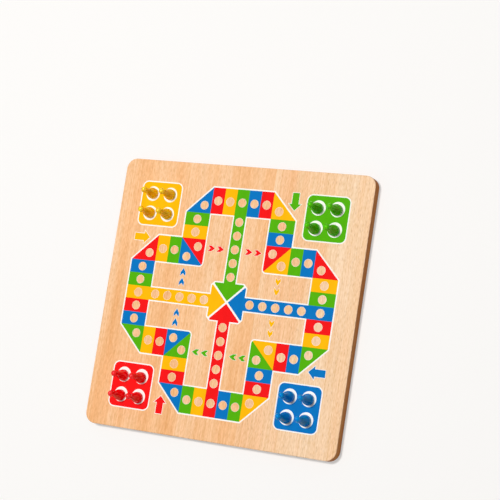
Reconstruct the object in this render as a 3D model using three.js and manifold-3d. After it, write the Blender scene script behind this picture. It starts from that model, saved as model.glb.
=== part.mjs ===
// Ludo and checkers board: a veneered board with a steel sheet under its face, and sixteen magnetic pawns
// standing in their four home bases.
// Millimetres, +Z up. The origin is the centre of the board's underside.
// +Y points to the top of the printed track, along the grain.
import * as THREE from 'three';
import { mergeVertices } from 'three/addons/utils/BufferGeometryUtils.js';
import Module from 'manifold-3d';

// Board
const BOARD_SIDE = 300;
const BOARD_THICKNESS = 12;
const CORNER_RADIUS = 12;
const EDGE_ROUND = 1.2; // radius of the sanded edges, front and back
const VENEER_THICKNESS = 0.6;
const NARROW_LEAF_WIDTH = 115; // each face is one wide and one narrow leaf, butted along the grain
const RAIL_WIDTH = 9;
const MITRE_GLUE_LINE = 0.3;

// Steel sheet, let into the core
const SHEET_THICKNESS = 0.5;
const SHEET_BORDER = 6; // core left standing round the sheet
const SHEET_CLEARANCE = 0.3;

// Home bases, where the pawns stand
const HOME_INSET = 49.5; // centre of a home base from the two nearest edges of the board
const PAWN_SPACING = 22;
const INK_FILM = 0.05; // printed layer under the pawns

// Pawns and their magnets
const MAGNET_DIAMETER = 8;
const MAGNET_THICKNESS = 2;
const MAGNET_CLEARANCE = 0.3;
const PAWN_FOOT_WALL = 1.9; // plastic round the magnet's pocket
const PAWN_FOOT_ROUND = 0.9;
const PAWN_HEIGHT = 25;
const PAWN_NECK_DIAMETER = 4.6;
const PAWN_NECK_LENGTH = 1.2;
const PAWN_HEAD_OVERHANG = 1.15; // how far the ball head stands out past the neck
const BELL_FULLNESS = 0.42; // share of the bell's rise over which the foot's upright tangent pulls
const BELL_WAIST = 0.34; // the same for the neck's tangent

const CUT_OVERRUN = 1; // how far a cutting block runs past the face that it cuts
const WELD_DISTANCE = 1e-4; // points closer than this are one point of a solid

// Facets of the curved surfaces
const CORNER_STEPS = 8;
const EDGE_STEPS = 3;
const PAWN_SIDES = 16;
const FOOT_STEPS = 2;
const BELL_STEPS = 5;
const HEAD_STEPS = 5;

const beech = new THREE.MeshStandardMaterial({ color: 0xf2c492, roughness: 0.55, metalness: 0 });
const beechEdge = new THREE.MeshStandardMaterial({ color: 0xdba873, roughness: 0.6, metalness: 0 });
const coreWood = new THREE.MeshStandardMaterial({ color: 0xc9a478, roughness: 0.8, metalness: 0 });
const sheetSteel = new THREE.MeshStandardMaterial({ color: 0xa9adb0, roughness: 0.4, metalness: 1 });
const ferrite = new THREE.MeshStandardMaterial({ color: 0x2b2b2d, roughness: 0.7, metalness: 0 });

// Home bases: the colour of each, the corner of the board that it lies in,
// and how far along X and Y its pawns stand off their place
const HOMES = [
  { colour: 'yellow', hex: 0xf7b500, cornerX: -1, cornerY: 1, shiftX: 0.6, shiftY: 0.1 },
  { colour: 'green', hex: 0x3c8f12, cornerX: 1, cornerY: 1, shiftX: -0.3, shiftY: -1 },
  { colour: 'red', hex: 0xd8131c, cornerX: -1, cornerY: -1, shiftX: 1.3, shiftY: -3.6 },
  { colour: 'blue', hex: 0x0a63a8, cornerX: 1, cornerY: -1, shiftX: -0.4, shiftY: -0.8 },
];

const wasm = await Module();
wasm.setup();

// Turns a closed three.js geometry into a solid that can be cut.
function toSolid(geometry) {
  const bare = geometry.index ? geometry.clone() : geometry;
  bare.deleteAttribute('normal');
  bare.deleteAttribute('uv');
  const merged = mergeVertices(bare, WELD_DISTANCE);
  return new wasm.Manifold(new wasm.Mesh({
    numProp: 3,
    vertProperties: new Float32Array(merged.attributes.position.array),
    triVerts: new Uint32Array(merged.index.array),
  }));
}

// Turns a cut solid back into a three.js geometry.
function toGeometry(solid) {
  const { vertProperties, triVerts } = solid.getMesh();
  const geometry = new THREE.BufferGeometry();
  geometry.setAttribute('position', new THREE.BufferAttribute(vertProperties, 3));
  geometry.setIndex(new THREE.BufferAttribute(triVerts, 1));
  geometry.computeVertexNormals();
  return geometry;
}

// A box between two corners, as a solid.
function block([x0, y0, z0], [x1, y1, z1]) {
  const geometry = new THREE.BoxGeometry(x1 - x0, y1 - y0, z1 - z0);
  geometry.translate((x0 + x1) / 2, (y0 + y1) / 2, (z0 + z1) / 2);
  return toSolid(geometry);
}

function addMesh(parent, name, geometry, material) {
  const mesh = new THREE.Mesh(geometry, material);
  mesh.name = name;
  parent.add(mesh);
  return mesh;
}

// The rounded-square outline of the board, taken in by an inset, counter-clockwise from above.
function outlinePoints(inset) {
  const half = BOARD_SIDE / 2;
  const centre = half - CORNER_RADIUS;
  const radius = CORNER_RADIUS - inset;
  const points = [];
  for (let corner = 0; corner < 4; corner += 1) {
    const signX = corner === 0 || corner === 3 ? 1 : -1;
    const signY = corner < 2 ? 1 : -1;
    for (let step = 0; step <= CORNER_STEPS; step += 1) {
      const angle = (corner + step / CORNER_STEPS) * (Math.PI / 2);
      points.push([signX * centre + radius * Math.cos(angle), signY * centre + radius * Math.sin(angle)]);
    }
  }
  return points;
}

// The whole glued-up board as it is routed and sanded: rounded corners, and rounded edges front and back.
function boardBlank() {
  const rings = [];
  for (let step = 0; step <= EDGE_STEPS; step += 1) {
    const angle = (step / EDGE_STEPS) * (Math.PI / 2);
    rings.push({ inset: EDGE_ROUND * (1 - Math.sin(angle)), z: EDGE_ROUND * (1 - Math.cos(angle)) });
  }
  for (let step = EDGE_STEPS; step >= 0; step -= 1) {
    rings.push({ inset: rings[step].inset, z: BOARD_THICKNESS - rings[step].z });
  }
  const positions = [];
  for (const { inset, z } of rings) {
    for (const [x, y] of outlinePoints(inset)) positions.push(x, y, z);
  }
  const around = outlinePoints(0).length;
  const triangles = [];
  for (let ring = 0; ring + 1 < rings.length; ring += 1) {
    for (let i = 0; i < around; i += 1) {
      const a = ring * around + i;
      const b = ring * around + (i + 1) % around;
      triangles.push(a, b, b + around, a, b + around, a + around);
    }
  }
  const top = (rings.length - 1) * around;
  for (let i = 1; i + 1 < around; i += 1) {
    triangles.push(0, i + 1, i);
    triangles.push(top, top + i, top + i + 1);
  }
  const geometry = new THREE.BufferGeometry();
  geometry.setAttribute('position', new THREE.Float32BufferAttribute(positions, 3));
  geometry.setIndex(triangles);
  return toSolid(geometry);
}

// Two leaves of veneer between two heights, cut from the blank and butted along the grain.
function addVeneer(parent, face, blank, z0, z1) {
  const reach = BOARD_SIDE;
  const jointX = BOARD_SIDE / 2 - NARROW_LEAF_WIDTH;
  const wide = blank.intersect(block([-reach, -reach, z0], [jointX, reach, z1]));
  const narrow = blank.intersect(block([jointX, -reach, z0], [reach, reach, z1]));
  addMesh(parent, `${face}_veneer_wide`, toGeometry(wide), beech);
  addMesh(parent, `${face}_veneer_narrow`, toGeometry(narrow), beech);
}

// Core panel with a rebate in its top, and the steel sheet that lies in the rebate.
function addCore(parent, z0, z1) {
  const half = BOARD_SIDE / 2 - RAIL_WIDTH;
  const rebate = half - SHEET_BORDER;
  const floor = z1 - SHEET_THICKNESS;
  const panel = block([-half, -half, z0], [half, half, z1]);
  const pocket = block([-rebate, -rebate, floor], [rebate, rebate, z1 + CUT_OVERRUN]);
  addMesh(parent, 'core_panel', toGeometry(panel.subtract(pocket)), coreWood);
  const sheet = rebate - SHEET_CLEARANCE;
  const plate = block([-sheet, -sheet, floor], [sheet, sheet, z1]);
  addMesh(parent, 'steel_sheet', toGeometry(plate), sheetSteel);
}

// Four lippings round the core, cut from the blank and mitred at the corners.
function addEdgeRails(parent, blank, z0, z1) {
  const reach = BOARD_SIDE;
  const half = BOARD_SIDE / 2 - RAIL_WIDTH;
  const layer = blank.intersect(block([-reach, -reach, z0], [reach, reach, z1]));
  const inside = block([-half, -half, z0 - CUT_OVERRUN], [half, half, z1 + CUT_OVERRUN]);
  const frame = layer.subtract(inside);
  const wedgeStart = MITRE_GLUE_LINE / Math.SQRT2;
  ['right', 'top', 'left', 'bottom'].forEach((side, quarter) => {
    const wedge = new THREE.Shape([
      new THREE.Vector2(wedgeStart, 0),
      new THREE.Vector2(wedgeStart + reach, -reach),
      new THREE.Vector2(wedgeStart + reach, reach),
    ]);
    const prism = new THREE.ExtrudeGeometry(wedge, { depth: BOARD_THICKNESS, bevelEnabled: false });
    prism.rotateZ(quarter * (Math.PI / 2));
    addMesh(parent, `edge_rail_${side}`, toGeometry(frame.intersect(toSolid(prism))), beechEdge);
  });
}

// Turned outline of a pawn from the magnet's pocket round the foot and up the bell to the ball head.
function pawnProfile() {
  const pocket = MAGNET_DIAMETER / 2 + MAGNET_CLEARANCE;
  const foot = pocket + PAWN_FOOT_WALL;
  const neck = PAWN_NECK_DIAMETER / 2;
  const head = neck + PAWN_HEAD_OVERHANG;
  const headCentre = PAWN_HEIGHT - head;
  const neckTop = headCentre - Math.sqrt(head * head - neck * neck);
  const neckBottom = neckTop - PAWN_NECK_LENGTH;
  const bellRise = neckBottom - PAWN_FOOT_ROUND;

  const points = [
    new THREE.Vector2(0, MAGNET_THICKNESS),
    new THREE.Vector2(pocket, MAGNET_THICKNESS),
    new THREE.Vector2(pocket, 0),
  ];
  for (let step = 0; step <= FOOT_STEPS; step += 1) {
    const angle = (step / FOOT_STEPS) * (Math.PI / 2);
    points.push(new THREE.Vector2(
      foot - PAWN_FOOT_ROUND * (1 - Math.sin(angle)),
      PAWN_FOOT_ROUND * (1 - Math.cos(angle)),
    ));
  }
  const bell = new THREE.CubicBezierCurve(
    new THREE.Vector2(foot, PAWN_FOOT_ROUND),
    new THREE.Vector2(foot, PAWN_FOOT_ROUND + bellRise * BELL_FULLNESS),
    new THREE.Vector2(neck, neckBottom - bellRise * BELL_WAIST),
    new THREE.Vector2(neck, neckBottom),
  );
  points.push(...bell.getPoints(BELL_STEPS).slice(1));
  const headStart = Math.acos(neck / head);
  for (let step = 0; step < HEAD_STEPS; step += 1) {
    const angle = -headStart + (step / HEAD_STEPS) * (headStart + Math.PI / 2);
    points.push(new THREE.Vector2(head * Math.cos(angle), headCentre + head * Math.sin(angle)));
  }
  points.push(new THREE.Vector2(0, PAWN_HEIGHT));
  return points;
}

// A pawn and its magnet, standing at a place on the printed face.
function addPawn(parent, colour, number, material, x, y) {
  const pawn = new THREE.Group();
  pawn.position.set(x, y, BOARD_THICKNESS + INK_FILM);
  const body = new THREE.LatheGeometry(pawnProfile(), PAWN_SIDES);
  body.rotateX(Math.PI / 2);
  addMesh(pawn, `pawn_${colour}_${number}`, body, material);
  const radius = MAGNET_DIAMETER / 2;
  const magnet = new THREE.CylinderGeometry(radius, radius, MAGNET_THICKNESS, PAWN_SIDES);
  magnet.rotateX(Math.PI / 2);
  magnet.translate(0, 0, MAGNET_THICKNESS / 2);
  addMesh(pawn, `magnet_${colour}_${number}`, magnet, ferrite);
  parent.add(pawn);
}

// The four pawns of a home base, numbered along its upper row and then along its lower row.
function addHome(parent, { colour, hex, cornerX, cornerY, shiftX, shiftY }) {
  const material = new THREE.MeshStandardMaterial({ color: hex, roughness: 0.25, metalness: 0 });
  const homeX = cornerX * (BOARD_SIDE / 2 - HOME_INSET) + shiftX;
  const homeY = cornerY * (BOARD_SIDE / 2 - HOME_INSET) + shiftY;
  let number = 1;
  for (const row of [1, -1]) {
    for (const column of [-1, 1]) {
      const x = homeX + (column * PAWN_SPACING) / 2;
      const y = homeY + (row * PAWN_SPACING) / 2;
      addPawn(parent, colour, number, material, x, y);
      number += 1;
    }
  }
}

const board = new THREE.Group();
const blank = boardBlank();
const coreBottom = VENEER_THICKNESS;
const coreTop = BOARD_THICKNESS - VENEER_THICKNESS;
addVeneer(board, 'back', blank, 0, coreBottom);
addCore(board, coreBottom, coreTop);
addEdgeRails(board, blank, coreBottom, coreTop);
addVeneer(board, 'front', blank, coreTop, BOARD_THICKNESS);
for (const home of HOMES) addHome(board, home);

export default board;
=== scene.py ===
import math

import bpy
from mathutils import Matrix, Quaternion, Vector


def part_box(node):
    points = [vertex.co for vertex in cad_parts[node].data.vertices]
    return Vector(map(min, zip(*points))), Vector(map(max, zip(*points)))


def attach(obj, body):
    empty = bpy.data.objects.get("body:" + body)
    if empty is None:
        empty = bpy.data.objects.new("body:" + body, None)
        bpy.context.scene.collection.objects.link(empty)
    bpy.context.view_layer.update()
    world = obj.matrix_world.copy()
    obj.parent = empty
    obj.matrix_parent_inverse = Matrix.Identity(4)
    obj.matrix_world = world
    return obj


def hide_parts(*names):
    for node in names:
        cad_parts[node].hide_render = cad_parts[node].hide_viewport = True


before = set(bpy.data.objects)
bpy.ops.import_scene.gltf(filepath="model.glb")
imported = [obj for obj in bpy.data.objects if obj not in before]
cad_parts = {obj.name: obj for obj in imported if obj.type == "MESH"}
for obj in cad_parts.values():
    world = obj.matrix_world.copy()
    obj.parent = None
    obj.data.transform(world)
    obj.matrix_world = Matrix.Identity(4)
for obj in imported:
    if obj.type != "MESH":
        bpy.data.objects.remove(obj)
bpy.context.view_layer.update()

# Core panel: the middle of the board, strips of poplar glued side by side and planed flat.
# It is rebated on top for the steel sheet and is closed in by the lippings and the veneers.
MM = 0.001
POPLAR_HEXES = ("#e9d4b2", "#ddc29b", "#c9ab82")
POPLAR_GRAIN = {"figure": (25, 300), "streak": (2.5, 90), "dash": (2.0, 9), "fleck": (2, 9)}
FIBRE_HEX = "#e8dbc3"
FLECK_HEX = "#a5744a"
WANDER_PATCH = (70, 260)
WANDER_REACH = 4 * MM
DASH_SHARE = 0.52


def linear(hex_colour):
    """An sRGB hex colour as the linear RGBA that a socket takes."""
    channels = [int(hex_colour[i:i + 2], 16) / 255 for i in (1, 3, 5)]
    curve = [c / 12.92 if c <= 0.04045 else ((c + 0.055) / 1.055) ** 2.4 for c in channels]
    return (*curve, 1.0)


def add_node(tree, kind, inputs=None, **settings):
    """Adds a node with its settings. Its inputs, by name or number, get values or other nodes' outputs."""
    node = tree.nodes.new(kind)
    for name, value in settings.items():
        setattr(node, name, value)
    for key, value in (inputs or {}).items():
        if isinstance(value, bpy.types.NodeSocket):
            tree.links.new(value, node.inputs[key])
        else:
            node.inputs[key].default_value = value
    return node


def new_material(name):
    """An empty material, as its tree and its shader, with the shader already on the output."""
    material = bpy.data.materials.new(name)
    material.use_nodes = True
    tree = material.node_tree
    tree.nodes.clear()
    shader = add_node(tree, "ShaderNodeBsdfPrincipled")
    add_node(tree, "ShaderNodeOutputMaterial", {"Surface": shader.outputs["BSDF"]})
    return material, tree, shader


def stretched(tree, coordinates, width, length):
    """Coordinates in which a patch of wood, width across the grain and length along it, is one unit."""
    across = 1 / (width * MM)
    along = 1 / (length * MM)
    mapping = add_node(tree, "ShaderNodeMapping", {"Vector": coordinates, "Scale": (across, along, across)})
    return mapping.outputs["Vector"]


def wood(name, hexes, grain, fleck_depth, roughness, turn=0.0, start=(0, 0, 0)):
    """Wood with its grain along Y, or along X after a quarter turn, sanded and lacquered matt or left raw.
    The grain's figure, streaks, dashes and ray flecks are each a (width, length) in millimetres."""
    material, tree, shader = new_material(name)
    place = add_node(tree, "ShaderNodeTexCoord").outputs["Object"]
    laid = add_node(tree, "ShaderNodeMapping", {
        "Vector": place, "Location": start, "Rotation": (0, 0, turn)}).outputs["Vector"]

    # The grain wanders a few millimetres sideways on its way along the board.
    wander = add_node(tree, "ShaderNodeTexNoise", {
        "Vector": stretched(tree, laid, *WANDER_PATCH), "Scale": 1, "Detail": 1})
    sideways = add_node(tree, "ShaderNodeMapRange", {
        "Value": wander.outputs["Fac"], "To Min": -WANDER_REACH, "To Max": WANDER_REACH})
    shift = add_node(tree, "ShaderNodeCombineXYZ", {"X": sideways.outputs["Result"]})
    along = add_node(tree, "ShaderNodeVectorMath", {0: laid, 1: shift.outputs["Vector"]}).outputs["Vector"]

    # Broad figure: slow bands from pale to tan.
    bands = add_node(tree, "ShaderNodeTexNoise", {
        "Vector": stretched(tree, along, *grain["figure"]), "Scale": 1, "Detail": 3, "Roughness": 0.55})
    ramp = add_node(tree, "ShaderNodeValToRGB", {"Fac": bands.outputs["Fac"]})
    ramp.color_ramp.elements[0].position = 0.3
    ramp.color_ramp.elements[1].position = 0.7
    ramp.color_ramp.elements.new(0.5)
    for element, hex_colour in zip(ramp.color_ramp.elements, hexes):
        element.color = linear(hex_colour)

    # Fibres: long streaks and short dashes, which tint the figure where they are dense.
    streaks = add_node(tree, "ShaderNodeTexNoise", {
        "Vector": stretched(tree, along, *grain["streak"]), "Scale": 1, "Detail": 1})
    dashes = add_node(tree, "ShaderNodeTexNoise", {
        "Vector": stretched(tree, along, *grain["dash"]), "Scale": 1, "Detail": 1})
    fibres = add_node(tree, "ShaderNodeMix", {
        0: DASH_SHARE, 2: streaks.outputs["Fac"], 3: dashes.outputs["Fac"]})
    density = add_node(tree, "ShaderNodeMapRange", {
        "Value": fibres.outputs[0], "From Min": 0.32, "From Max": 0.68})
    tint = add_node(tree, "ShaderNodeMix", {
        0: density.outputs["Result"], 6: linear(FIBRE_HEX), 7: linear("#ffffff")}, data_type="RGBA")
    streaked = add_node(tree, "ShaderNodeMix", {
        0: 1.0, 6: ramp.outputs["Color"], 7: tint.outputs[2]}, data_type="RGBA", blend_type="MULTIPLY")

    # Ray flecks: thin brown spindles along the grain, one to a patch.
    spindles = add_node(tree, "ShaderNodeTexVoronoi", {
        "Vector": stretched(tree, along, *grain["fleck"]), "Scale": 1, "Randomness": 1.0})
    flecks = add_node(tree, "ShaderNodeMapRange", {
        "Value": spindles.outputs["Distance"], "From Min": 0.28, "From Max": 0.12, "To Max": fleck_depth},
        interpolation_type="SMOOTHSTEP")
    flecked = add_node(tree, "ShaderNodeMix", {
        0: flecks.outputs["Result"], 6: streaked.outputs[2], 7: linear(FLECK_HEX)}, data_type="RGBA")

    sheen = add_node(tree, "ShaderNodeMapRange", {
        "Value": fibres.outputs[0], "To Min": roughness[0], "To Max": roughness[1]})
    relief = add_node(tree, "ShaderNodeMath", {
        0: fibres.outputs[0], 1: flecks.outputs["Result"]}, operation="SUBTRACT")
    bump = add_node(tree, "ShaderNodeBump", {
        "Height": relief.outputs["Value"], "Strength": 0.35, "Distance": 0.04 * MM})
    tree.links.new(flecked.outputs[2], shader.inputs["Base Color"])
    tree.links.new(sheen.outputs["Result"], shader.inputs["Roughness"])
    tree.links.new(bump.outputs["Normal"], shader.inputs["Normal"])
    shader.inputs["IOR"].default_value = 1.5
    shader.inputs["Specular IOR Level"].default_value = 0.06
    return material


poplar = wood("raw poplar, planed", POPLAR_HEXES, POPLAR_GRAIN, fleck_depth=0.2, roughness=(0.7, 0.85))
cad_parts["core_panel"].material_slots[0].material = poplar

# Steel sheet: thin zinc-coated steel, sheared square and glued into the rebate of the core.
# The zinc shows as flat crystals of slightly different greys.
# The magnets in the pawns pull on it through the veneer.
SPANGLE = 6 * MM


def zinc_sheet():
    """Hot-dip zinc: each crystal has its own grey and its own gloss."""
    material, tree, shader = new_material("zinc-coated sheet steel")
    place = add_node(tree, "ShaderNodeTexCoord").outputs["Object"]
    crystals = add_node(tree, "ShaderNodeTexVoronoi", {"Vector": place, "Scale": 1 / SPANGLE})
    grey = add_node(tree, "ShaderNodeMix", {
        0: crystals.outputs["Color"], 6: linear("#9ba0a4"), 7: linear("#c3c7ca")}, data_type="RGBA")
    gloss = add_node(tree, "ShaderNodeMapRange", {
        "Value": crystals.outputs["Color"], "To Min": 0.3, "To Max": 0.48})
    tree.links.new(grey.outputs[2], shader.inputs["Base Color"])
    tree.links.new(gloss.outputs["Result"], shader.inputs["Roughness"])
    shader.inputs["Metallic"].default_value = 1.0
    return material


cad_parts["steel_sheet"].material_slots[0].material = zinc_sheet()

# Lippings: four strips of solid beech glued round the core and mitred at the corners.
# The whole board is routed to round corners and sanded afterwards,
# so each strip carries half of two corners.
CORNER_RADIUS = 12 * MM
EDGE_ROUND = 0.7 * MM
MITRE_GLUE_LINE = 0.1 * MM
CORNER_STEPS = 24
EDGE_STEPS = 10
SMOOTH_BELOW = math.radians(32)
ROUNDING_SLACK = 1e-9
LEAST_SHARE = 1e-6
STRIP_START = 0.3
STRIP_APART = 0.7
# The lipping colours are darker and more orange than the face veneer. This is partly the beech edge's own
# tone and partly painted shade, standing in for the shade that falls on the board's edges.
LIPPING_HEXES_WITH_PAINTED_SHADE = ("#eba562", "#e29453", "#d28040")
LIPPING_GRAIN = {"figure": (9, 200), "streak": (1.2, 60), "dash": (1.2, 7), "fleck": (1.6, 6)}
board_low, board_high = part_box("edge_rail_top")
half_side = board_high.y
core_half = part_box("core_panel")[1].x
glue_low, glue_high = board_low.z, board_high.z
board_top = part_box("front_veneer_wide")[1].z


def edge_profile(z_from, z_to):
    """(height, inset) pairs up the sanded edge of the board between two heights."""
    pairs = []
    for step in range(EDGE_STEPS + 1):
        angle = math.pi / 2 * step / EDGE_STEPS
        rise = EDGE_ROUND * (1 - math.cos(angle))
        inset = EDGE_ROUND * (1 - math.sin(angle))
        pairs += [(rise, inset), (board_top - rise, inset)]
    for z in (z_from, z_to):
        depth = max(EDGE_ROUND - z, z - (board_top - EDGE_ROUND), 0)
        pairs.append((z, EDGE_ROUND - math.sqrt(EDGE_ROUND ** 2 - depth ** 2)))
    least = z_from - ROUNDING_SLACK
    most = z_to + ROUNDING_SLACK
    return sorted({(round(z, 8), inset) for z, inset in pairs if least <= z <= most})


def show(name, mesh, material):
    """Puts a mesh in the scene under a name, smooth apart from its sharp edges."""
    mesh.validate()
    mesh.shade_smooth()
    mesh.set_sharp_from_angle(angle=SMOOTH_BELOW)
    piece = bpy.data.objects.new(name, mesh)
    bpy.context.scene.collection.objects.link(piece)
    if material:
        mesh.materials.clear()
        mesh.materials.append(material)
    return piece


def lofted(name, rings, material):
    """A closed solid through rings of equally many points, capped at both ends."""
    count = len(rings[0])
    points = [p for ring in rings for p in ring]
    faces = [list(reversed(range(count))), list(range(len(points) - count, len(points)))]
    for start in range(0, len(points) - count, count):
        for i in range(count):
            j = (i + 1) % count
            faces.append((start + i, start + j, start + count + j, start + count + i))
    mesh = bpy.data.meshes.new(name)
    mesh.from_pydata(points, [], faces)
    return show(name, mesh, material)


def lipping_section(angle, inner_y):
    """One cross-section of the right-hand lipping, through a corner's arc at an angle up or down from X."""
    arc_y = math.copysign(half_side - CORNER_RADIUS, angle)
    section = []
    for z, inset in reversed(edge_profile(glue_low, glue_high)):
        radius = CORNER_RADIUS - inset
        x = half_side - CORNER_RADIUS + radius * math.cos(angle)
        section.append((x, arc_y + radius * math.sin(angle), z))
    return [(core_half, inner_y, glue_high), *section, (core_half, inner_y, glue_low)]


def lipping_sections():
    """The sections of the right-hand lipping from its lower mitre to its upper one."""
    corner = []
    for step in range(CORNER_STEPS + 1):
        share = step / CORNER_STEPS
        inner_y = half_side - CORNER_RADIUS + share * (core_half - half_side + CORNER_RADIUS)
        corner.append((max(share, LEAST_SHARE) * math.pi / 4, inner_y))
    sections = [lipping_section(-angle, -inner_y) for angle, inner_y in reversed(corner)]
    sections += [lipping_section(angle, inner_y) for angle, inner_y in corner]
    slack = MITRE_GLUE_LINE / math.sqrt(2)
    sections[0] = [(x, y + slack, z) for x, y, z in sections[0]]
    sections[-1] = [(x, y - slack, z) for x, y, z in sections[-1]]
    return sections


for quarter, side in enumerate(("right", "top", "left", "bottom")):
    grain_turn = math.pi / 2 * (quarter % 2)
    beech_edge = wood(f"beech lipping, {side}", LIPPING_HEXES_WITH_PAINTED_SHADE, LIPPING_GRAIN, fleck_depth=0.3,
                      roughness=(0.5, 0.62), turn=grain_turn,
                      start=(quarter * STRIP_APART, STRIP_START, 0))
    cos, sin = round(math.cos(quarter * math.pi / 2)), round(math.sin(quarter * math.pi / 2))
    rings = [[(cos * x - sin * y, sin * x + cos * y, z) for x, y, z in ring] for ring in lipping_sections()]
    lipping = lofted(f"lipping_{side}", rings, beech_edge)
    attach(lipping, "board")
    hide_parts(f"edge_rail_{side}")

# Veneer: two leaves of sliced beech on each face, butted along the grain, glued, sanded and lacquered.
# The wide leaf has soft long streaks.
# The narrow one was cut nearer the rays, so it is full of fine flecks.
WIDE_HEXES = ("#ffd6b0", "#fecb9c", "#f8bc85")
NARROW_HEXES = ("#ffe4c8", "#ffd9b4", "#fdc99c")
WIDE_GRAIN = {"figure": (20, 420), "streak": (1.5, 110), "dash": (1.4, 4.5), "fleck": (2.4, 9)}
NARROW_GRAIN = {"figure": (30, 420), "streak": (1.2, 90), "dash": (1.1, 4.8), "fleck": (1.8, 8)}
WIDE_START = (0.31, 0.2, 0)
NARROW_START = (1.7, 0.9, 0)
VENEER_ROUGHNESS = (0.55, 0.66)
CAP_RIM = 0.4 * MM


def leaf_ring(x_from, x_to, z, inset):
    """The outline of a leaf at one height: rounded where it is the board's corner, square at the seam."""
    ring = []
    for corner in range(4):
        sign_x = 1 if corner in (0, 3) else -1
        sign_y = 1 if corner < 2 else -1
        edge_x = x_to if sign_x > 0 else x_from
        if abs(abs(edge_x) - half_side) > MM:
            ring.append((edge_x, sign_y * (half_side - inset), z))
            continue
        for step in range(2 * CORNER_STEPS + 1):
            angle = (corner + step / (2 * CORNER_STEPS)) * math.pi / 2
            radius = CORNER_RADIUS - inset
            centre = half_side - CORNER_RADIUS
            x = sign_x * centre + radius * math.cos(angle)
            y = sign_y * centre + radius * math.sin(angle)
            ring.append((x, y, z))
    return ring


wide_beech = wood("beech veneer, wide leaf", WIDE_HEXES, WIDE_GRAIN, fleck_depth=0.14,
                  roughness=VENEER_ROUGHNESS, start=WIDE_START)
narrow_beech = wood("beech veneer, narrow leaf", NARROW_HEXES, NARROW_GRAIN, fleck_depth=0.28,
                    roughness=VENEER_ROUGHNESS, start=NARROW_START)
for face in ("front", "back"):
    for leaf, beech in (("wide", wide_beech), ("narrow", narrow_beech)):
        low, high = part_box(f"{face}_veneer_{leaf}")
        profile = edge_profile(low.z, high.z)
        rings = [leaf_ring(low.x, high.x, z, inset) for z, inset in profile]
        if face == "front":
            rings.append(leaf_ring(low.x, high.x, high.z, EDGE_ROUND + CAP_RIM))
        else:
            rings.insert(0, leaf_ring(low.x, high.x, low.z, EDGE_ROUND + CAP_RIM))
        piece = lofted(f"beech_leaf_{face}_{leaf}", rings, beech)
        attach(piece, "board")
        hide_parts(f"{face}_veneer_{leaf}")

# White underprint: one opaque white film, screened on the sanded wood before the colours.
# It shows as the keylines round the track, the home bases, the arrows and the chevrons,
# and as the sixteen discs.
CELL = 14.6 * MM
FILM = 0.025 * MM
WELD_DISTANCE = 0.001 * MM
SPOT = 9.7 * MM
SPOT_RIM = 0.2 * MM
TRACK_KEYLINE = 1.5 * MM
WINDOW_KEYLINE = 1.35 * MM
BASE_SIDE = 48.4 * MM
BASE_RADIUS = 6 * MM
BASE_KEYLINE = 1.3 * MM
BASE_DISC = 16.6 * MM
ARROW_KEYLINE = 0.5 * MM
CHEVRON_KEYLINE = 0.25 * MM
HOLE_SIDES = 40
ROUND_STEPS = 10
WHITE_HEX = "#fbf8f2"
INK_CLOUD = (6, 18)
INK_FIBRE = (0.8, 9)
QUARTER_COLOURS = ("green", "blue", "red", "yellow")
CELL_CYCLE = ("blue", "red", "yellow", "green")
PAWN_NUMBERS = range(1, 5)
# In millimetres: how far the pawns stand off their discs, and the arrows off their places.
PAWN_STANDS = {"green": (-0.4, -0.7), "blue": (-0.3, -0.55), "red": (-0.2, -1.2), "yellow": (0.3, 0.1)}
ARROW_SHIFTS = {"green": (0, 0), "blue": (0, 0), "red": (1.55, -3.3), "yellow": (0, 0)}
# In cells from the centre: the lane along an arm, the lane across its end, and what lies in the lanes.
LANE_IN = 2.5
LANE_OUT = 4.5
END_IN = 6.5
END_OUT = 8.5
SQUARE_ROUND = 0.25
INCENTRE = 2 - math.sqrt(2)
COLUMN_HALF = 0.48
COLUMN_SPOTS = (6.03, 4.99, 3.95, 2.92, 1.88)
ARROWHEAD_BASE = 1.41
ARROWHEAD_HALF = 1.31
ARROWHEAD_TIP = 0.1
ARROWHEAD_ROUND = 0.075
ARROWHEAD_CUT = 1.17
START_ARROW = ((4.25, 7.26), (4.74, 7.76), (4.52, 7.76), (4.52, 8.59), (3.98, 8.59), (3.98, 7.76),
               (3.76, 7.76))
CHEVRON = ((0.3, 0), (-0.02, 0.21), (-0.29, 0.21), (-0.09, 0), (-0.29, -0.21), (-0.02, -0.21))
CHEVRON_PLACES = (-1.93, -1.19, 1.15, 1.89)
CHEVRON_ROWS = {"green": 3.88, "blue": 3.85, "red": 3.92, "yellow": 3.97}


def rounded(corners):
    """An outline through corners of x, y and radius, each radius as an arc, in the corners' own units."""
    outline = []
    for i, (x, y, radius) in enumerate(corners):
        here = Vector((x, y))
        if not radius:
            outline.append(here)
            continue
        to_last = (Vector(corners[i - 1][:2]) - here).normalized()
        to_next = (Vector(corners[(i + 1) % len(corners)][:2]) - here).normalized()
        half_angle = to_last.angle(to_next) / 2
        centre = here + (to_last + to_next).normalized() * radius / math.sin(half_angle)
        first = here + to_last * radius / math.tan(half_angle) - centre
        sweep = first.angle_signed(here + to_next * radius / math.tan(half_angle) - centre)
        for step in range(ROUND_STEPS + 1):
            turn = -sweep * step / ROUND_STEPS
            arm = Vector((first.x * math.cos(turn) - first.y * math.sin(turn),
                          first.x * math.sin(turn) + first.y * math.cos(turn)))
            outline.append(centre + arm)
    return outline


def grown(outline, distance):
    """A counter-clockwise outline with its sides moved outwards by a distance and its corners sharp."""
    moved = []
    for i, here in enumerate(outline):
        before = (here - outline[i - 1]).normalized()
        after = (outline[(i + 1) % len(outline)] - here).normalized()
        outward = Vector((before.y, -before.x)) + Vector((after.y, -after.x))
        moved.append(here + outward * 2 * distance / outward.length_squared)
    return moved


def turned_to(quarter, outline):
    """An outline turned clockwise about the centre of the board by quarter turns."""
    for _ in range(quarter):
        outline = [Vector((p.y, -p.x)) for p in outline]
    return outline


def in_cells(*corners):
    """Corners in cells as an outline in metres."""
    return [p * CELL for p in rounded([(*c, 0) if len(c) == 2 else c for c in corners])]


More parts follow.
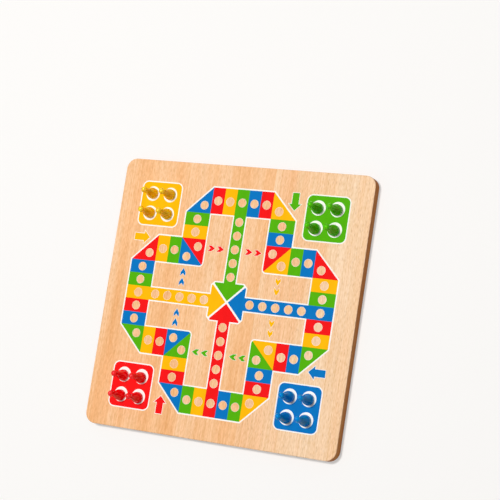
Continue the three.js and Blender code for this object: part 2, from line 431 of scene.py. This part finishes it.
def home_column():
    """The coloured start cell, the column of spots and the arrowhead at the centre, for the top arm."""
    side = ((0.5, END_OUT), (0.5, END_IN), (COLUMN_HALF, END_IN), (COLUMN_HALF, ARROWHEAD_BASE))
    head = ((ARROWHEAD_HALF, ARROWHEAD_BASE, ARROWHEAD_ROUND), (0, ARROWHEAD_TIP),
            (-ARROWHEAD_HALF, ARROWHEAD_BASE, ARROWHEAD_ROUND))
    mirrored = [(-x, y) for x, y in reversed(side)]
    return list(reversed(in_cells(*side, *head, *mirrored)))


def quarter_cells():
    """The thirteen cells of the top arm clockwise, each as its outline and its spot."""
    cells = []
    tip = LANE_IN + INCENTRE
    lane_middle = (LANE_IN + LANE_OUT) / 2
    end_middle = (END_IN + END_OUT) / 2
    outline = in_cells((-LANE_IN, END_IN), (-LANE_IN, END_OUT), (-LANE_OUT, END_IN))
    cells.append((outline, (-tip, END_IN + INCENTRE)))
    for x in range(-2, 3):
        outline = in_cells((x - 0.5, END_IN), (x + 0.5, END_IN), (x + 0.5, END_OUT), (x - 0.5, END_OUT))
        cells.append((home_column() if x == 0 else outline, (x, end_middle)))
    outline = in_cells((LANE_IN, END_IN), (LANE_OUT, END_IN), (LANE_IN, END_OUT))
    cells.append((outline, (tip, END_IN + INCENTRE)))
    for y in (6, 5):
        outline = in_cells((LANE_IN, y - 0.5), (LANE_OUT, y - 0.5), (LANE_OUT, y + 0.5), (LANE_IN, y + 0.5))
        cells.append((outline, (lane_middle, y)))
    bend = []
    for step in range(ROUND_STEPS + 1):
        angle = math.pi / 4 * step / ROUND_STEPS
        x = LANE_IN + SQUARE_ROUND * (1 - math.cos(angle))
        y = LANE_IN + SQUARE_ROUND * (1 - math.sin(angle))
        bend.append(Vector((x, y)) * CELL)
    upper = [*bend, *in_cells((LANE_OUT, LANE_OUT), (LANE_IN, LANE_OUT))]
    cells.append((upper, (tip, LANE_OUT - INCENTRE)))
    cells.append((list(reversed([Vector((p.y, p.x)) for p in upper])), (LANE_OUT - INCENTRE, tip)))
    for x in (5, 6):
        outline = in_cells((x - 0.5, LANE_IN), (x + 0.5, LANE_IN), (x + 0.5, LANE_OUT), (x - 0.5, LANE_OUT))
        cells.append((outline, (x, lane_middle)))
    return cells


def start_arrow(quarter, grow=0):
    """A colour's start arrow. The green one is right of the top arm and points down."""
    shift = Vector(ARROW_SHIFTS[QUARTER_COLOURS[quarter]]) * MM
    return [p + shift for p in turned_to(quarter, grown(in_cells(*START_ARROW), grow))]


def chevrons(quarter, grow=0):
    """The four chevrons across an arm, which point clockwise round the board."""
    shapes = []
    row = CHEVRON_ROWS[QUARTER_COLOURS[quarter]]
    for place in CHEVRON_PLACES:
        outline = in_cells(*[(place + x, row + y) for x, y in CHEVRON])
        shapes.append(turned_to(quarter, grown(outline, grow)))
    return shapes


def home_base(colour, grow):
    """The rounded square under a colour's four pawns, and the places of its discs."""
    boxes = [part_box(f"pawn_{colour}_{number}") for number in PAWN_NUMBERS]
    places = [((low + high) / 2).to_2d() - Vector(PAWN_STANDS[colour]) * MM for low, high in boxes]
    centre = sum(places, Vector((0, 0))) / len(places)
    half = BASE_SIDE / 2 + grow
    corners = ((half, -half), (half, half), (-half, half), (-half, -half))
    outline = rounded([(centre.x + x, centre.y + y, BASE_RADIUS + grow) for x, y in corners])
    return outline, places


def new_tree(name, inputs):
    """An empty geometry tree with the named inputs, as the tree and what it is given."""
    tree = bpy.data.node_groups.new(name, "GeometryNodeTree")
    tree.interface.new_socket("Geometry", in_out="INPUT", socket_type="NodeSocketGeometry")
    for label, kind in inputs.items():
        tree.interface.new_socket(label, in_out="INPUT", socket_type=f"NodeSocket{kind}")
    tree.interface.new_socket("Geometry", in_out="OUTPUT", socket_type="NodeSocketGeometry")
    return tree, add_node(tree, "NodeGroupInput").outputs


def thickened(tree, flat, given):
    """A flat mesh at the tree's given height, closed into a film of the given thickness."""
    level = add_node(tree, "ShaderNodeCombineXYZ", {"Z": given["Height"]})
    laid = add_node(tree, "GeometryNodeTransform", {
        "Geometry": flat, "Translation": level.outputs["Vector"]})
    rise = add_node(tree, "ShaderNodeCombineXYZ", {"Z": given["Thickness"]})
    raised = add_node(tree, "GeometryNodeExtrudeMesh", {
        "Mesh": laid.outputs["Geometry"], "Offset": rise.outputs["Vector"], "Individual": False},
        mode="FACES")
    under = add_node(tree, "GeometryNodeFlipFaces", {"Mesh": laid.outputs["Geometry"]})
    both = add_node(tree, "GeometryNodeJoinGeometry")
    tree.links.new(raised.outputs["Mesh"], both.inputs["Geometry"])
    tree.links.new(under.outputs["Mesh"], both.inputs["Geometry"])
    closed = add_node(tree, "GeometryNodeMergeByDistance", {
        "Geometry": both.outputs["Geometry"], "Distance": WELD_DISTANCE})
    return closed.outputs["Geometry"]


def inked(tree, films, given):
    """Ends a tree: its films as one real mesh in the given ink."""
    real = add_node(tree, "GeometryNodeRealizeInstances", {"Geometry": films})
    coloured = add_node(tree, "GeometryNodeSetMaterial", {
        "Geometry": real.outputs["Geometry"], "Material": given["Ink"]})
    add_node(tree, "NodeGroupOutput", {"Geometry": coloured.outputs["Geometry"]})
    return tree


def film_tree():
    """Geometry nodes for a printed film: the object's closed outlines, less a round hole at each of its
    loose points, filled and given the film's thickness."""
    tree, given = new_tree("printed film", {
        "Height": "Float", "Thickness": "Float", "Hole sides": "Int", "Ink": "Material"})
    lines = add_node(tree, "GeometryNodeMeshToCurve", {"Mesh": given["Geometry"]})
    neighbours = add_node(tree, "GeometryNodeInputMeshVertexNeighbors")
    loose = add_node(tree, "FunctionNodeCompare", {2: neighbours.outputs["Vertex Count"], 3: 0},
                     data_type="INT", operation="EQUAL")
    centres = add_node(tree, "GeometryNodeMeshToPoints", {
        "Mesh": given["Geometry"], "Selection": loose.outputs["Result"]})
    circle = add_node(tree, "GeometryNodeCurvePrimitiveCircle", {
        "Resolution": given["Hole sides"], "Radius": 0.5})
    across = add_node(tree, "GeometryNodeInputNamedAttribute", {
        "Name": "hole_diameter"}, data_type="FLOAT")
    holes = add_node(tree, "GeometryNodeInstanceOnPoints", {
        "Points": centres.outputs["Points"], "Instance": circle.outputs["Curve"],
        "Scale": across.outputs["Attribute"]})
    cut = add_node(tree, "GeometryNodeRealizeInstances", {"Geometry": holes.outputs["Instances"]})
    outlines = add_node(tree, "GeometryNodeJoinGeometry")
    tree.links.new(lines.outputs["Curve"], outlines.inputs["Geometry"])
    tree.links.new(cut.outputs["Geometry"], outlines.inputs["Geometry"])
    filled = add_node(tree, "GeometryNodeFillCurve", {"Curve": outlines.outputs["Geometry"]})
    return inked(tree, thickened(tree, filled.outputs["Mesh"], given), given)


def grow_nodes(name, mesh, tree, **inputs):
    """Runs a geometry tree once on a mesh, with its inputs by name, and keeps the result as a mesh."""
    source = bpy.data.objects.new(name + "_source", mesh)
    bpy.context.scene.collection.objects.link(source)
    modifier = source.modifiers.new(tree.name, "NODES")
    modifier.node_group = tree
    sockets = {item.name: item.identifier for item in tree.interface.items_tree if item.in_out == "INPUT"}
    for key, value in inputs.items():
        modifier[sockets[key.replace("_", " ").capitalize()]] = value
    evaluated = source.evaluated_get(bpy.context.evaluated_depsgraph_get())
    plain = bpy.data.meshes.new_from_object(evaluated)
    bpy.data.objects.remove(source)
    return show(name, plain, None)


printed_film = film_tree()


def printed(name, outlines, holes, height, ink):
    """A film of ink on the board: outlines in metres, and holes as x, y and diameter."""
    points = []
    edges = []
    for outline in outlines:
        first = len(points)
        points += [(p.x, p.y, 0) for p in outline]
        edges += [(first + i, first + (i + 1) % len(outline)) for i in range(len(outline))]
    mesh = bpy.data.meshes.new(name)
    mesh.from_pydata(points + [(x, y, 0) for x, y, _ in holes], edges, [])
    sizes = mesh.attributes.new("hole_diameter", "FLOAT", "POINT")
    sizes.data.foreach_set("value", [0.0] * len(points) + [diameter for _, _, diameter in holes])
    film = grow_nodes(name, mesh, printed_film, height=height, thickness=FILM, hole_sides=HOLE_SIDES,
                      ink=ink)
    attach(film, "board")
    return film


def ink_film(name, hex_colour):
    """Cured screen ink: opaque and matt, slightly uneven, with the grain just felt through it."""
    material, tree, shader = new_material(name)
    place = add_node(tree, "ShaderNodeTexCoord").outputs["Object"]
    cloud = add_node(tree, "ShaderNodeTexNoise", {
        "Vector": stretched(tree, place, *INK_CLOUD), "Scale": 1, "Detail": 3})
    tone = add_node(tree, "ShaderNodeMapRange", {
        "Value": cloud.outputs["Fac"], "From Min": 0.3, "From Max": 0.7, "To Min": 0.95, "To Max": 1.03})
    colour = add_node(tree, "ShaderNodeMix", {
        0: 1.0, 6: linear(hex_colour), 7: tone.outputs["Result"]}, data_type="RGBA", blend_type="MULTIPLY")
    fibres = add_node(tree, "ShaderNodeTexNoise", {
        "Vector": stretched(tree, place, *INK_FIBRE), "Scale": 1, "Detail": 2})
    gloss = add_node(tree, "ShaderNodeMapRange", {
        "Value": fibres.outputs["Fac"], "To Min": 0.58, "To Max": 0.7})
    bump = add_node(tree, "ShaderNodeBump", {
        "Height": fibres.outputs["Fac"], "Strength": 0.25, "Distance": 0.03 * MM})
    tree.links.new(colour.outputs[2], shader.inputs["Base Color"])
    tree.links.new(gloss.outputs["Result"], shader.inputs["Roughness"])
    tree.links.new(bump.outputs["Normal"], shader.inputs["Normal"])
    shader.inputs["IOR"].default_value = 1.5
    shader.inputs["Specular IOR Level"].default_value = 0.05
    return material


white_ink = ink_film("white screen ink", WHITE_HEX)
track_side = ((LANE_OUT, END_IN), (LANE_IN, END_OUT), (-LANE_IN, END_OUT), (-LANE_OUT, END_IN),
              (-LANE_OUT, LANE_OUT))
track_outline = [p for quarter in (0, 3, 2, 1) for p in turned_to(quarter, in_cells(*track_side))]
window = rounded([
    (COLUMN_HALF, ARROWHEAD_BASE, 0), (ARROWHEAD_CUT, ARROWHEAD_BASE, 0),
    (ARROWHEAD_BASE, ARROWHEAD_CUT, 0), (ARROWHEAD_BASE, COLUMN_HALF, 0),
    (END_IN, COLUMN_HALF, 0), (END_IN, LANE_IN, 0), (LANE_IN, LANE_IN, SQUARE_ROUND),
    (LANE_IN, END_IN, 0), (COLUMN_HALF, END_IN, 0)])
window = grown([p * CELL for p in window], -WINDOW_KEYLINE)
white_outlines = [grown(track_outline, TRACK_KEYLINE)]
white_holes = []
for quarter, colour in enumerate(QUARTER_COLOURS):
    white_outlines.append(turned_to(quarter, window))
    white_outlines.append(home_base(colour, BASE_KEYLINE)[0])
    white_outlines.append(start_arrow(quarter, ARROW_KEYLINE))
    white_outlines += chevrons(quarter, CHEVRON_KEYLINE)
    spots = [spot for _, spot in quarter_cells()] + [(0, y) for y in COLUMN_SPOTS]
    for spot in turned_to(quarter, [Vector(spot) * CELL for spot in spots]):
        white_holes.append((spot.x, spot.y, SPOT - 2 * SPOT_RIM))
printed("white_underprint", white_outlines, white_holes, board_top, white_ink)

# Coloured inks: four opaque films screened over the white, one pass for each colour.
# The track runs clockwise through blue, red, yellow and green, and each spot is left open to the bare wood.
INK_HEXES = {"red": "#f41416", "yellow": "#feb902", "green": "#53b006", "blue": "#0074be"}
outlines = {colour: [] for colour in INK_HEXES}
holes = {colour: [] for colour in INK_HEXES}
for quarter, colour in enumerate(QUARTER_COLOURS):
    cells = quarter_cells()
    for index, (outline, spot) in enumerate(cells, start=quarter * len(cells)):
        cell_colour = CELL_CYCLE[index % len(CELL_CYCLE)]
        outlines[cell_colour].append(turned_to(quarter, outline))
        place = turned_to(quarter, [Vector(spot) * CELL])[0]
        holes[cell_colour].append((place.x, place.y, SPOT))
    for place in turned_to(quarter, [Vector((0, y)) * CELL for y in COLUMN_SPOTS]):
        holes[colour].append((place.x, place.y, SPOT))
    base, discs = home_base(colour, 0)
    outlines[colour].append(base)
    holes[colour] += [(disc.x, disc.y, BASE_DISC) for disc in discs]
    outlines[colour].append(start_arrow(quarter))
    facing = QUARTER_COLOURS[(quarter + 2) % len(QUARTER_COLOURS)]
    outlines[facing] += chevrons(quarter)
inks = {}
for colour, hex_colour in INK_HEXES.items():
    inks[colour] = ink_film(f"{colour} screen ink", hex_colour)
    printed(f"{colour}_print", outlines[colour], holes[colour], board_top + FILM, inks[colour])

# Checkers field: the back of the board, thirty-two dark squares in the set's blue inside a white keyline.
# The light squares are bare beech, and the films lie on the lacquered veneer as on the front.
FIELD_SQUARES = 8
FIELD_SQUARE = 30 * MM
SQUARE_GAP = 0.3 * MM


def checks_tree():
    """Geometry nodes for the dark squares of a checkers field: a grid of places, every other one of which
    carries a square of film."""
    tree, given = new_tree("dark squares", {
        "Squares": "Int", "Pitch": "Float", "Side": "Float", "Height": "Float", "Thickness": "Float",
        "Ink": "Material"})
    steps = add_node(tree, "ShaderNodeMath", {0: given["Squares"], 1: 1.0}, operation="SUBTRACT")
    span = add_node(tree, "ShaderNodeMath", {
        0: steps.outputs["Value"], 1: given["Pitch"]}, operation="MULTIPLY")
    places = add_node(tree, "GeometryNodeMeshGrid", {
        "Size X": span.outputs["Value"], "Size Y": span.outputs["Value"],
        "Vertices X": given["Squares"], "Vertices Y": given["Squares"]})
    index = add_node(tree, "GeometryNodeInputIndex").outputs["Index"]
    row = add_node(tree, "ShaderNodeMath", {0: index, 1: given["Squares"]}, operation="DIVIDE")
    whole_row = add_node(tree, "ShaderNodeMath", {0: row.outputs["Value"]}, operation="FLOOR")
    both = add_node(tree, "ShaderNodeMath", {0: index, 1: whole_row.outputs["Value"]})
    odd = add_node(tree, "ShaderNodeMath", {0: both.outputs["Value"], 1: 2.0}, operation="MODULO")
    square = add_node(tree, "GeometryNodeMeshGrid", {
        "Size X": given["Side"], "Size Y": given["Side"], "Vertices X": 2, "Vertices Y": 2})
    dark = add_node(tree, "GeometryNodeInstanceOnPoints", {
        "Points": places.outputs["Mesh"], "Selection": odd.outputs["Value"],
        "Instance": thickened(tree, square.outputs["Mesh"], given)})
    return inked(tree, dark.outputs["Instances"], given)


field_half = FIELD_SQUARES * FIELD_SQUARE / 2
field = [Vector(p) * field_half for p in ((1, -1), (1, 1), (-1, 1), (-1, -1))]
printed("checkers_keyline", [grown(field, TRACK_KEYLINE), field], [], -FILM, white_ink)
squares = grow_nodes("checkers_squares", bpy.data.meshes.new("checkers_squares"), checks_tree(),
                     squares=FIELD_SQUARES, pitch=FIELD_SQUARE, side=FIELD_SQUARE - SQUARE_GAP,
                     height=-FILM, thickness=FILM, ink=inks["blue"])
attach(squares, "board")

# Pawns: sixteen glossy polystyrene pawns, four of each colour, each moulded with a pocket in its foot.
# A round-edged foot swells into a bell, draws in to a short neck and ends in a ball head.
MAGNET_THICKNESS = 2 * MM
POCKET_RADIUS = 4.3 * MM
FOOT_RADIUS = 6.2 * MM
FOOT_ROUND = 0.9 * MM
NECK_RADIUS = 2.3 * MM
NECK_LENGTH = 1.2 * MM
NECK_FILLET = 0.9 * MM
HEAD_RADIUS = 3.45 * MM
BELL_FULLNESS = 0.42
BELL_WAIST = 0.34
PAWN_SIDES = 64
FOOT_STEPS = 6
BELL_STEPS = 24
FILLET_STEPS = 6
HEAD_STEPS = 18
FLOW_MARK = 5 * MM
SKIN_GRAIN = 0.9 * MM
SEEP_DEPTH = 5 * MM
PAWN_HEXES = {"red": "#ff0a16", "yellow": "#ffc800", "green": "#59be06", "blue": "#008bd0"}
SHINE_LEVELS = {"red": 1.0, "yellow": 1.0, "green": 0.5, "blue": 0.5}
SHINE_HEXES = {"red": "#ff8484", "yellow": "#ffe789", "green": "#89f34f", "blue": "#3fb4f9"}


def turned(name, profile, sides, foot, material):
    """A solid turned about an upright axis at foot. Its profile of (radius, height) ends on the axis."""
    points = []
    rings = []
    for radius, height in profile:
        count = sides if radius else 1
        rings.append([len(points) + i % count for i in range(sides)])
        for i in range(count):
            angle = 2 * math.pi * i / sides
            points.append(foot + Vector((radius * math.cos(angle), radius * math.sin(angle), height)))
    faces = []
    for lower, upper in zip(rings, rings[1:]):
        for i in range(sides):
            j = (i + 1) % sides
            corners = dict.fromkeys((lower[i], lower[j], upper[j], upper[i]))
            faces.append(list(corners))
    mesh = bpy.data.meshes.new(name)
    mesh.from_pydata(points, [], faces)
    return show(name, mesh, material)


def arc(centre_r, centre_z, radius, start, end, steps):
    """Points of a profile on a round stretch between two angles."""
    angles = [start + (end - start) * step / steps for step in range(steps + 1)]
    return [(centre_r + radius * math.cos(a), centre_z + radius * math.sin(a)) for a in angles]


def pawn_profile(height):
    """The pocket, the foot, the bell, the neck with its fillet, and the ball head."""
    head_z = height - HEAD_RADIUS
    reach = HEAD_RADIUS + NECK_FILLET
    fillet_r = NECK_RADIUS + NECK_FILLET
    fillet_z = head_z - math.sqrt(reach ** 2 - fillet_r ** 2)
    ball_start = math.atan2(fillet_z - head_z, fillet_r)
    neck_z = head_z - math.sqrt(HEAD_RADIUS ** 2 - NECK_RADIUS ** 2) - NECK_LENGTH
    rise = neck_z - FOOT_ROUND
    handles = ((FOOT_RADIUS, FOOT_ROUND), (FOOT_RADIUS, FOOT_ROUND + rise * BELL_FULLNESS),
               (NECK_RADIUS, neck_z - rise * BELL_WAIST), (NECK_RADIUS, neck_z))
    bell = []
    for step in range(1, BELL_STEPS + 1):
        t = step / BELL_STEPS
        weights = ((1 - t) ** 3, 3 * t * (1 - t) ** 2, 3 * t ** 2 * (1 - t), t ** 3)
        bell.append(tuple(sum(w * h[axis] for w, h in zip(weights, handles)) for axis in (0, 1)))
    return [
        (0, MAGNET_THICKNESS), (POCKET_RADIUS, MAGNET_THICKNESS), (POCKET_RADIUS, 0),
        *arc(FOOT_RADIUS - FOOT_ROUND, FOOT_ROUND, FOOT_ROUND, -math.pi / 2, 0, FOOT_STEPS),
        *bell,
        *arc(fillet_r, fillet_z, NECK_FILLET, math.pi, math.pi + ball_start, FILLET_STEPS),
        *arc(0, head_z, HEAD_RADIUS, ball_start, math.pi / 2, HEAD_STEPS)[1:-1],
        (0, height),
    ]


def moulded_plastic(name, hex_colour, shine_hex, shine_level):
    """Moulded polystyrene: deep colour that light seeps into, faint flow marks, and a strong soft gloss
    that takes on the colour."""
    material, tree, shader = new_material(name)
    place = add_node(tree, "ShaderNodeTexCoord").outputs["Object"]
    flow = add_node(tree, "ShaderNodeTexNoise", {"Vector": place, "Scale": 1 / FLOW_MARK, "Detail": 2})
    tone = add_node(tree, "ShaderNodeMapRange", {
        "Value": flow.outputs["Fac"], "From Min": 0.3, "From Max": 0.7, "To Min": 0.95, "To Max": 1.04})
    colour = add_node(tree, "ShaderNodeMix", {
        0: 1.0, 6: linear(hex_colour), 7: tone.outputs["Result"]}, data_type="RGBA", blend_type="MULTIPLY")
    gloss = add_node(tree, "ShaderNodeMapRange", {
        "Value": flow.outputs["Fac"], "To Min": 0.2, "To Max": 0.27})
    skin = add_node(tree, "ShaderNodeTexNoise", {"Vector": place, "Scale": 1 / SKIN_GRAIN, "Detail": 1})
    bump = add_node(tree, "ShaderNodeBump", {
        "Height": skin.outputs["Fac"], "Strength": 0.03, "Distance": 0.02 * MM})
    tree.links.new(colour.outputs[2], shader.inputs["Base Color"])
    tree.links.new(gloss.outputs["Result"], shader.inputs["Roughness"])
    tree.links.new(bump.outputs["Normal"], shader.inputs["Normal"])
    shader.inputs["Subsurface Weight"].default_value = 1.0
    shader.inputs["Subsurface Radius"].default_value = linear(hex_colour)[:3]
    shader.inputs["Subsurface Scale"].default_value = SEEP_DEPTH
    shader.inputs["IOR"].default_value = 1.59
    shader.inputs["Specular IOR Level"].default_value = shine_level
    shader.inputs["Specular Tint"].default_value = linear(shine_hex)
    return material


for colour, hex_colour in PAWN_HEXES.items():
    plastic = moulded_plastic(f"{colour} moulded polystyrene", hex_colour, SHINE_HEXES[colour],
                              SHINE_LEVELS[colour])
    for number in PAWN_NUMBERS:
        low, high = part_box(f"pawn_{colour}_{number}")
        foot = Vector(((low.x + high.x) / 2, (low.y + high.y) / 2, low.z))
        pawn = turned(f"{colour}_pawn_{number}", pawn_profile(high.z - low.z), PAWN_SIDES, foot, plastic)
        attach(pawn, f"{colour}_pawn_{number}")
        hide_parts(f"pawn_{colour}_{number}")

# Magnets: a ground ferrite disc pressed into the pocket of each pawn, flush with the foot.
# Sintered ferrite is a matt charcoal ceramic with tiny pores, and its ground rim has a small chamfer.
MAGNET_CHAMFER = 0.25 * MM
MAGNET_SIDES = 48
SPECK = 0.35 * MM


def ground_ferrite():
    """Ground ferrite: charcoal with fine speckles and pores."""
    material, tree, shader = new_material("ground ferrite")
    place = add_node(tree, "ShaderNodeTexCoord").outputs["Object"]
    specks = add_node(tree, "ShaderNodeTexNoise", {"Vector": place, "Scale": 1 / SPECK, "Detail": 3})
    grey = add_node(tree, "ShaderNodeMix", {
        0: specks.outputs["Fac"], 6: linear("#202123"), 7: linear("#4a4b4e")}, data_type="RGBA")
    bump = add_node(tree, "ShaderNodeBump", {
        "Height": specks.outputs["Fac"], "Strength": 0.4, "Distance": 0.03 * MM})
    tree.links.new(grey.outputs[2], shader.inputs["Base Color"])
    tree.links.new(bump.outputs["Normal"], shader.inputs["Normal"])
    shader.inputs["Roughness"].default_value = 0.62
    return material


ferrite = ground_ferrite()
for colour in PAWN_HEXES:
    for number in PAWN_NUMBERS:
        low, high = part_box(f"magnet_{colour}_{number}")
        foot = Vector(((low.x + high.x) / 2, (low.y + high.y) / 2, low.z))
        radius = (high.x - low.x) / 2
        height = high.z - low.z
        profile = [(0, 0), (radius - MAGNET_CHAMFER, 0), (radius, MAGNET_CHAMFER),
                   (radius, height - MAGNET_CHAMFER), (radius - MAGNET_CHAMFER, height), (0, height)]
        magnet = turned(f"ferrite_disc_{colour}_{number}", profile, MAGNET_SIDES, foot, ferrite)
        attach(magnet, f"{colour}_pawn_{number}")
        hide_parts(f"magnet_{colour}_{number}")

# Studio: a plain pale floor with an opening hidden under the board, clear from below to show the back.
# One soft lamp hangs high over the upper left of the track, and a plain pale surround lights the object
# dimly from above and well from below.
FLOOR_REACH = 6.0
FLOOR_GLOW = 0.45
FLOOR_FAR_GLOW = 0.67
GLOW_RISE = (0.8, 5.0)
KEY_PLACE = Vector((-0.44, 0.50, 3.34))
KEY_ENERGY = 99
KEY_SIZE = 0.5
SURROUND_SEEN = 0.8
SURROUND_ABOVE = 0.2
SURROUND_BELOW = 0.95


def looked_at(tree):
    """One for rays that the camera sends, straight or by a mirror or glass, and zero for the rest."""
    rays = add_node(tree, "ShaderNodeLightPath")
    mirrored = add_node(tree, "ShaderNodeMath", {
        0: rays.outputs["Is Glossy Ray"], 1: rays.outputs["Is Transmission Ray"]}, operation="MAXIMUM")
    seen = add_node(tree, "ShaderNodeMath", {
        0: rays.outputs["Is Camera Ray"], 1: mirrored.outputs["Value"]}, operation="MAXIMUM")
    return seen.outputs["Value"]


def floor_paint():
    """Matt pale paint that only its upper side shows. It looks paler than the light that it throws back on
    the object, so the object's shadow stays soft, and far from the lamp it fades into the surround."""
    material, tree, shader = new_material("pale floor")
    place = add_node(tree, "ShaderNodeTexCoord").outputs["Object"]
    distance = add_node(tree, "ShaderNodeVectorMath", {0: place}, operation="LENGTH")
    pallor = add_node(tree, "ShaderNodeMapRange", {
        "Value": distance.outputs["Value"], "From Min": GLOW_RISE[0], "From Max": GLOW_RISE[1],
        "To Min": FLOOR_GLOW, "To Max": FLOOR_FAR_GLOW})
    glow = add_node(tree, "ShaderNodeMath", {
        0: looked_at(tree), 1: pallor.outputs["Result"]}, operation="MULTIPLY")
    tree.links.new(glow.outputs["Value"], shader.inputs["Emission Strength"])
    shader.inputs["Emission Color"].default_value = linear("#fffefc")
    shader.inputs["Base Color"].default_value = linear("#b9b7b5")
    shader.inputs["Roughness"].default_value = 0.9
    side = add_node(tree, "ShaderNodeNewGeometry")
    clear = add_node(tree, "ShaderNodeBsdfTransparent")
    seen = add_node(tree, "ShaderNodeMixShader", {
        0: side.outputs["Backfacing"], 1: shader.outputs["BSDF"], 2: clear.outputs["BSDF"]})
    output = next(node for node in tree.nodes if node.type == "OUTPUT_MATERIAL")
    tree.links.new(seen.outputs["Shader"], output.inputs["Surface"])
    return material


floor_z = -2 * FILM
opening = leaf_ring(-half_side, half_side, floor_z, EDGE_ROUND)
corner_signs = ((1, 1), (-1, 1), (-1, -1), (1, -1))
points = opening + [(x * FLOOR_REACH, y * FLOOR_REACH, floor_z) for x, y in corner_signs]
arc_points = len(opening) // 4
faces = []
for corner in range(4):
    first = corner * arc_points
    last = first + arc_points - 1
    outer = len(opening) + corner
    outer_next = len(opening) + (corner + 1) % 4
    faces.append([first, outer, *range(last, first, -1)])
    faces.append([outer, outer_next, (last + 1) % len(opening), last])
floor_mesh = bpy.data.meshes.new("floor")
floor_mesh.from_pydata(points, [], faces)
floor_mesh.materials.append(floor_paint())
floor = bpy.data.objects.new("floor", floor_mesh)
bpy.context.scene.collection.objects.link(floor)

key_data = bpy.data.lights.new("key", "AREA")
key_data.energy = KEY_ENERGY
key_data.size = KEY_SIZE
key = bpy.data.objects.new("key", key_data)
key.location = KEY_PLACE
key.rotation_euler = (-KEY_PLACE).to_track_quat("-Z", "Y").to_euler()
bpy.context.scene.collection.objects.link(key)
world = bpy.data.worlds.new("surround")
world.use_nodes = True
sky = world.node_tree
outlook = add_node(sky, "ShaderNodeTexCoord").outputs["Generated"]
direction = add_node(sky, "ShaderNodeSeparateXYZ", {0: outlook})
below = add_node(sky, "ShaderNodeMath", {0: direction.outputs["Z"], 1: 0.0}, operation="LESS_THAN")
level = add_node(sky, "ShaderNodeMapRange", {
    "Value": below.outputs["Value"], "To Min": SURROUND_ABOVE, "To Max": SURROUND_BELOW})
shown = add_node(sky, "ShaderNodeMix", {0: looked_at(sky), 2: level.outputs["Result"], 3: SURROUND_SEEN})
sky.nodes["Background"].inputs["Color"].default_value = linear("#ffffff")
sky.links.new(shown.outputs[0], sky.nodes["Background"].inputs["Strength"])
bpy.context.scene.world = world
bpy.context.scene.view_settings.view_transform = "Standard"

# Camera: a long lens above the right-hand edge, rolled so that the track stands nearly upright in view.
# It looks steeply down at a point above the centre of the track.
FOCAL_PIXELS = 1466
FRAME_PIXELS = 500
SENSOR = 36
CAMERA_AIM = Vector((17.9 * MM, 59.2 * MM, board_top))
CAMERA_DISTANCE = 1577 * MM
CAMERA_AZIMUTH = math.radians(-74.67)
CAMERA_ELEVATION = math.radians(63.78)
CAMERA_ROLL = math.radians(67.23)
forward = Vector((math.sin(CAMERA_AZIMUTH) * math.cos(CAMERA_ELEVATION),
                  math.cos(CAMERA_AZIMUTH) * math.cos(CAMERA_ELEVATION), -math.sin(CAMERA_ELEVATION)))
camera_data = bpy.data.cameras.new("camera")
camera_data.sensor_width = SENSOR
camera_data.lens = SENSOR * FOCAL_PIXELS / FRAME_PIXELS
camera = bpy.data.objects.new("camera", camera_data)
camera.location = CAMERA_AIM - forward * CAMERA_DISTANCE
camera.rotation_mode = "QUATERNION"
camera.rotation_quaternion = forward.to_track_quat("-Z", "Y") @ Quaternion((0, 0, 1), -CAMERA_ROLL)
bpy.context.scene.collection.objects.link(camera)
bpy.context.scene.camera = camera
